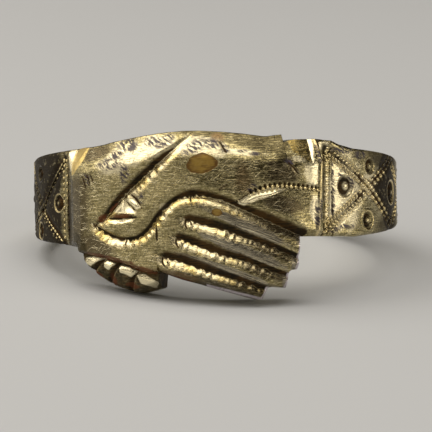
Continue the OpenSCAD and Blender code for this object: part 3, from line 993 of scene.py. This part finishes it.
# %% Marks for the finish
def inside_shapes(polygons, place, height):
    """How far inside the nearest polygon each point is, in half millimetres: the least of its
    distances to the lines through the polygon's sides."""
    best = np.full(place.shape, -9.0)
    for corners in polygons:
        least = np.full(place.shape, 9.0)
        for (px, py), (qx, qy) in zip(corners, corners[1:] + corners[:1]):
            long = math.hypot(qx - px, qy - py)
            least = np.minimum(least, ((qx - px) * (height - py) - (qy - py) * (place - px)) / long)
        best = np.maximum(best, least)
    return np.clip(best / 0.5, -1, 1)


def nearest_oval(ovals, place, height):
    """How far inside the nearest oval each point is: 1 at a middle, 0 at a rim, less outside."""
    best = np.full(place.shape, -9.0)
    for p, h, wide, tall, *turn in ovals:
        angle = math.radians(*turn) if turn else 0
        c, t = math.cos(angle), math.sin(angle)
        along, across = (place - p) * c + (height - h) * t, (height - h) * c - (place - p) * t
        best = np.maximum(best, 1 - np.hypot(along / wide, across / tall))
    return np.clip(best, -2, 1)


def add_mark(made, name, values):
    """A named number for each point of a mesh, which the finish can read."""
    layer = made.data.attributes.new(name, "FLOAT", "POINT")
    layer.data.foreach_set("value", values.astype(np.float32).ravel())


def add_marks(made, marks):
    """Gives a mesh all the numbers that its finish reads. Stains and patches stay outside."""
    place, height, outside = (marks[name] for name in ("place", "height", "outside"))
    for name in mark_names:
        add_mark(made, name, marks[name])
    for name, ovals in zones.items():
        add_mark(made, name, np.where(outside, nearest_oval(ovals, place, height), -2))
    for name, polygons in shapes.items():
        add_mark(made, name, np.where(outside, inside_shapes(polygons, place, height), -1))


def add_unrolled(made, place, height):
    """A UV map that is the drawing itself, a hundredth of it for each millimetre. It is given for
    each face corner, so that a face that closes the ring runs on past the last place, and one that
    closes the upper rim runs on below its lowest corner."""
    mesh = made.data
    index = np.empty(len(mesh.loops), np.int32)
    mesh.loops.foreach_get("vertex_index", index)
    corners = len(mesh.loops) // len(mesh.polygons)
    face_s, face_z = (values.ravel()[index].reshape(-1, corners) for values in (place, height))
    face_s = np.where(face_s < face_s.max(1, keepdims=True) - way_round / 2, face_s + way_round, face_s)
    lowest = face_z.min(1, keepdims=True)
    face_z = np.where(face_z > lowest + 4, lowest - 0.15, face_z)
    layer = mesh.uv_layers.new(name="unrolled")
    layer.uv.foreach_set("vector", np.stack([face_s, face_z], -1).astype(np.float32).ravel() / 100)


# Beads get dirt and painted shade towards their foot, and wear with painted highlight towards their top
bead_marks = {name: np.zeros(bead_r.shape) for name in mark_names}
bead_marks |= {
    "place": wrapped(bead_place), "height": bead_height, "drawn": bead_height,
    "outside": np.ones(bead_r.shape, bool), "dirt": 0.9 * (1 - bead_up), "wear": bead_up,
}
for made, marks in ((ring, ring_marks), (bead_mesh, bead_marks)):
    add_marks(made, marks)
    add_unrolled(made, marks["place"], marks["drawn"])
    print(made.name, "marks:", len(made.data.attributes))

# %% [markdown]
# ## Sums on sockets
#
# A material is easier to read as a formula than as a web of nodes. The small class below wraps a
# socket, and its operators add the Math nodes. Any other node comes from one method, which sets the
# node's own settings first and then fills its sockets with values or links.

# %% Shader arithmetic
class Wire:
    """An output socket that can be added, subtracted and multiplied."""

    def __init__(self, finish, socket):
        self.finish, self.socket = finish, socket

    def __add__(self, other):
        return self.finish.math("ADD", self, other)

    def __sub__(self, other):
        return self.finish.math("SUBTRACT", self, other)

    def __rsub__(self, other):
        return self.finish.math("SUBTRACT", other, self)

    def __mul__(self, other):
        return self.finish.math("MULTIPLY", self, other)

    __radd__, __rmul__ = __add__, __mul__

    def clamped(self):
        """Never under 0 or over 1."""
        return self.finish.math("ADD", self, 0, clamp=True)

    def step(self, start, end):
        """0 below start, 1 above end, smooth between."""
        return self.finish.node(
            "ShaderNodeMapRange", {"interpolation_type": "SMOOTHSTEP"},
            {"Value": self, "From Min": start, "From Max": end, "To Min": 0, "To Max": 1},
        )


class Finish:
    """The node tree of one material, with a method for each kind of node that it needs."""

    def __init__(self, name):
        self.material = bpy.data.materials.new(name)
        self.material.use_nodes = True
        self.tree = self.material.node_tree

    def node(self, kind, settings=None, sockets=None, output=0):
        """A node of a kind, with its settings made first and its sockets filled after."""
        made = self.tree.nodes.new(kind)
        for key, value in (settings or {}).items():
            setattr(made, key, value)
        self.fill(made, sockets or {})
        return Wire(self, made.outputs[output])

    def fill(self, made, sockets):
        """Gives each named socket of a node a value, or a link from a wire."""
        for key, value in sockets.items():
            if isinstance(value, Wire):
                self.tree.links.new(value.socket, made.inputs[key])
            else:
                made.inputs[key].default_value = value

    def math(self, operation, *values, clamp=False):
        """One sum, held between 0 and 1 if it is clamped."""
        settings = {"operation": operation, "use_clamp": clamp}
        return self.node("ShaderNodeMath", settings, dict(enumerate(values)))

    def mark(self, name):
        """A number that a mesh carries at each point."""
        return self.node("ShaderNodeAttribute", {"attribute_name": name}, output="Fac")

    def noise(self, where, scale, detail=2.0, roughness=0.5):
        """Soft noise about 0.5, with so many grains for each unit of its coordinates."""
        return self.node(
            "ShaderNodeTexNoise", {"noise_dimensions": "3D"},
            {"Vector": where, "Scale": scale, "Detail": detail, "Roughness": roughness},
        )

    def streaks(self, plan, long, thin, turn, detail=2.0):
        """Noise on the drawing with grains that are long and thin, in mm, turned by an angle."""
        grains = self.node(
            "ShaderNodeMapping", {"vector_type": "TEXTURE"},
            {"Vector": plan, "Scale": (long / 100, thin / 100, 1), "Rotation": (0, 0, turn)},
        )
        return self.noise(grains, 1, detail, 0.6)

    def scores(self, plan, *streaks):
        """Straight scratches: only the highest grains of such noises."""
        first, *more = (self.streaks(plan, *streak, detail=1.0).step(0.66, 0.72) for streak in streaks)
        return sum(more, first)

    def mixed(self, factor, a, b):
        """Colour a where the factor is 0 and colour b where it is 1."""
        settings = {"data_type": "RGBA", "clamp_factor": True}
        return self.node("ShaderNodeMix", settings, {0: factor, 6: a, 7: b}, output=2)

    def coated(self, colour, coats):
        """A colour under several coats, laid one over another. Each is a factor and a colour."""
        for factor, coat in coats:
            colour = self.mixed(factor, colour, coat)
        return colour


# %% [markdown]
# ## Grains and clouds
#
# Nothing on old metal is even, and all of that unevenness comes from noise. Noise that is stretched
# on the unrolled drawing gives brush marks and scratches that follow the hoop. Round noise in the
# solid gives specks, clouds and dents. A border that has noise added to it frays as a real one does.

# %% Grains and clouds
gilt = Finish("worn_silver_gilt")
plan = gilt.node("ShaderNodeUVMap", {"uv_map": "unrolled"})
solid = gilt.node("ShaderNodeTexCoord", output="Object")
brushed = gilt.streaks(plan, 0.8, 0.055, 0.04)
brushed_across = gilt.streaks(plan, 0.5, 0.055, -0.5)
crust = gilt.streaks(plan, 0.45, 0.12, -0.6, detail=5.0)
scratches_light = gilt.scores(plan, (1.1, 0.045, 0.06), (0.9, 0.045, -0.3), (0.8, 0.045, 0.7))
scratches_dark = gilt.scores(plan, (1.0, 0.045, 0.15), (0.7, 0.045, 1.3))
dented = gilt.noise(solid, 900, 1, 0.4)
patches = gilt.noise(solid, 700, 4, 0.6)
speckle = gilt.noise(solid, 3600, 5, 0.68)
brushing, clouds, specks = brushed - 0.5, gilt.noise(solid, 1500, 3, 0.55) - 0.5, speckle - 0.5
grain = gilt.noise(solid, 9000, 2, 0.6) - 0.5


def spread(name, fraying, start, end):
    """A stain from 0 outside to 1 inside, with its border frayed by the clouds."""
    return (gilt.mark(name) + clouds * fraying).step(start, end)


dirt, wear, shade = (gilt.mark(name) for name in ("dirt", "wear", "shade"))
chisel, bites, run = (gilt.mark(name) for name in ("chisel", "bites", "run"))
ragged = clouds * 0.5 + specks * 0.2
highlit_facets, golden, ochred = (
    (gilt.mark(name) + ragged).step(-0.06, 0.1) for name in ("highlit_facets", "golden", "ochre")
)
smooth = (chisel + highlit_facets + golden).clamped()
print("noises and marks:", len(gilt.tree.nodes), "nodes")

# %% [markdown]
# ## Olive gold, brushed and scratched
#
# The gilding is an olive gold, brushed by long use into fine scratches. Its colour is built as a
# gilder's would be, in coats. Each coat is a colour and a factor that says where it lies, and covers
# what is below it. Here come the gold itself, its pale zones, which are partly painted highlight, its
# dull zones, which are partly painted shade, and its scratches, then the grey of painted shade on the
# lower faces of the fingers, with their fine lines.

# %% Gold and grey
olive, bright_olive, cream = (0.23, 0.19, 0.082, 1), (0.68, 0.58, 0.31, 1), (0.86, 0.76, 0.50, 1)
dull_and_shade, grey, dark = (0.13, 0.10, 0.055, 1), (0.33, 0.295, 0.235, 1), (0.014, 0.009, 0.005, 1)

pale_and_highlight = spread("pale_and_highlight", 1.0, -0.15, 0.35)
faces = spread("grey", 0.6, -0.05, 0.3)
fine_lines = (gilt.streaks(plan, 2.2, 0.045, -0.4).step(0.56, 0.62) * faces).clamped()
gold_coats = gilt.coated(olive, [
    (brushing * 2.8 + grain * 2.4 + clouds * 0.8 + 0.33, bright_olive),
    # Dull gold, partly painted shade
    (spread("dull_and_shade", 0.8, -0.05, 0.45) * 0.85, dull_and_shade),
    # Pale gold, partly painted highlight
    (pale_and_highlight * 0.9, cream),
    (scratches_light.clamped() * 0.85, cream),
    (scratches_dark.clamped() * 0.6, dull_and_shade),
    # Painted shade: grey on the lower faces of the fingers
    (faces * 0.75, grey),
    (gilt.streaks(plan, 1.6, 0.06, -0.36).step(0.54, 0.64) * faces * 0.55, cream),
    (fine_lines * 0.8, dark),
])
print("with gold and grey:", len(gilt.tree.nodes), "nodes")

# %% [markdown]
# ## Painted shade, worn crests, highlights, stains and tarnish
#
# The hoop beside the hands is darkened with painted shade, which fades out where the photograph ends,
# and painted dimming darkens some strips of the hands. Crests, rims and beads are bright gold, from
# wear and from painted highlight, and the chiselled walls get painted highlight. Two drops left amber
# stains with a dark rim, and violet-grey tarnish lies in crusts on the shoulder and in specks
# elsewhere.

# %% Painted shade, gold crests, stains and tarnish
shade_olive, gold, violet = (0.07, 0.056, 0.026, 1), (0.80, 0.60, 0.22, 1), (0.06, 0.05, 0.07, 1)
amber, amber_rim, copper = (0.34, 0.215, 0.045, 1), (0.12, 0.055, 0.012, 1), (0.25, 0.16, 0.075, 1)

# Painted shade dims strips that the lamps light too brightly
painted_dim = spread("dim", 0.5, -0.15, 0.3) * (0.85 - brushing * 1.2 - speckle.step(0.5, 0.62) * 0.35)
# Painted shade on the hoop beside the hands and in the dark zones, with lighter specks
zone_shade = spread("dark", 0.6, -0.1, 0.4)
panel_shade = (spread("panel", 1.8, -0.6, 0.7) + zone_shade * 0.8).clamped() * gilt.mark("seen").step(0.52, 0.62)
panel_shade = panel_shade * (1 - speckle.step(0.56, 0.68) * 0.55)
drop = gilt.math("MAXIMUM", gilt.mark("stain"), gilt.mark("amber")) + clouds * 0.3
stained = drop.step(0.0, 0.06)
stain_rim = 1.0 - drop.step(0.06, 0.5) * 0.8 + clouds * 3.0 + brushing * 2.5
pitted = speckle.step(0.64, 0.7) * 0.6
crusted = (spread("tarnish", 1.2, -0.1, 0.5) * crust.step(0.44, 0.54)).clamped()
tarnished = (crusted + pitted).clamped() * (1 - stained) * (1 - smooth)
stained_coats = gilt.coated(gold_coats, [
    (painted_dim, shade_olive),
    (panel_shade * 0.97, dark),
    # Wear and painted highlight: bright gold on crests, rims and bead tops, kept out of the painted shade
    # of the dark zones
    (wear.step(0.2, 0.9) * (1 - zone_shade * 0.92) * 0.85, gilt.mixed(0.45 + pale_and_highlight * 0.2, gold, cream)),
    # Painted highlight on the lower walls of the cuts, gold and cream
    (chisel, gilt.mixed(patches.step(0.38, 0.55) * 0.85, gold, cream)),
    (spread("copper", 1.0, -0.2, 0.6) * 0.6, copper),
    (stained * 0.93, gilt.mixed(stain_rim, amber, amber_rim)),
    (tarnished * 0.92, violet),
])
print("with grime and stains:", len(gilt.tree.nodes), "nodes")

# %% [markdown]
# ## Painted shade in the cuts, and painted highlights
#
# The cuts hold nearly black painted shade, red-brown in patches, and so do the hollows with their
# dirt. On the cut-in nail, the fingertips, the cuffs and the wrist, facets get a pale, clean painted
# highlight, and along the ends of the fingers a lilac line of painted highlight. Those coats come last,
# because nothing lies over them.

# %% Painted shade and highlights
near_black, gold_brown, rust = (0.012, 0.008, 0.004, 1), (0.07, 0.035, 0.009, 1), (0.17, 0.06, 0.025, 1)
lilac_highlight, ochre, facet_highlight = (0.72, 0.65, 0.68, 1), (0.32, 0.23, 0.07, 1), (0.90, 0.80, 0.53, 1)

# Painted shade: the cuts and the dirt and shade of the hollows turn nearly black or brown
in_shade = (shade + specks * 0.5).step(0.0, 0.75)
deep = (dirt * 0.9 + clouds * 0.8 - chisel).step(0.4, 0.9)
near_floor = (patches * 0.6 + brushed * 0.6).step(0.54, 0.7)
# Lilac painted highlight along the ends of the fingers
edge_highlight = gilt.mark("rim").step(-0.12, 0.05)
colour = gilt.coated(stained_coats, [
    ((deep + in_shade).clamped() * 0.97, gilt.mixed(near_floor, near_black, gold_brown)),
    ((gilt.mark("rust") + specks * 1.2).step(-0.1, 0.4) * 0.85, rust),
    (edge_highlight * (0.5 + gilt.noise(solid, 500, 2, 0.5)), lilac_highlight),
    (ochred * (0.65 - brushing * 2.0), ochre),
    (golden * (0.9 - brushing * 2.0 - pitted * 0.6), gold),
    # Pale cream painted highlight on the lit facets
    (highlit_facets, facet_highlight),
])
print("with dirt and silver:", len(gilt.tree.nodes), "nodes")

# %% [markdown]
# ## Gloss and relief
#
# Gilding is satin where it is brushed and smoother where a chisel or a thumb passed. Painted shade,
# dirt and stains are rough and no metal. The finest relief, which no mesh could hold, is bump: brush
# marks, scratches and dents, and on the lower walls of the cuts the chisel's steps.

# %% Gloss and relief
chisel_step = 0.25
bump_height = 0.000022
edge_gloss = 0.06

# Painted shade, dirt and stains are rough and mostly not metal
shade_dirt_and_stain = ((deep + in_shade + panel_shade * (1 - wear)) * (1 - highlit_facets) + stained * 0.8).clamped()
rough = 0.21 + brushing * 0.25 + grain * 0.15 - smooth * 0.05 - wear * 0.08 + tarnished * 0.2
rough = rough + shade_dirt_and_stain * 0.3 + chisel * 0.06 + golden * 0.2 + pale_and_highlight * (1 - smooth) * 0.09
flat = (1 - chisel * 0.55 - highlit_facets * 0.85).clamped() * (1 - stained * 0.8)
scratched = (
    brushed * 0.7 + brushed_across * 0.4 + scratches_light * 0.7 - scratches_dark * 0.8
    - fine_lines * 0.4 + speckle * 0.2
)
steps = gilt.math("SINE", run * (2 * math.pi / chisel_step)) * bites
relief = scratched * flat + dented * 0.5 - tarnished * 0.4 + steps * 0.2
bump = gilt.node("ShaderNodeBump", None, {"Strength": 1.0, "Distance": bump_height, "Height": relief})
gilt.fill(gilt.tree.nodes["Principled BSDF"], {
    "Base Color": colour, "Roughness": rough.clamped(), "Specular IOR Level": edge_gloss,
    "Metallic": (1 - shade_dirt_and_stain * 0.85 - highlit_facets * 0.2).clamped(), "Normal": bump,
})
for piece in (ring, bead_mesh):
    piece.data.materials.append(gilt.material)
print("gilding:", len(gilt.tree.nodes), "nodes")

# %% [markdown]
# ## Handing over
#
# Both pieces ride on the ring's only body. The carved skin takes the place of the imported solid, which
# stays hidden inside it for collisions.

# %% Handing over
for piece in (ring, bead_mesh):
    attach(piece, "root")
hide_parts("ring")
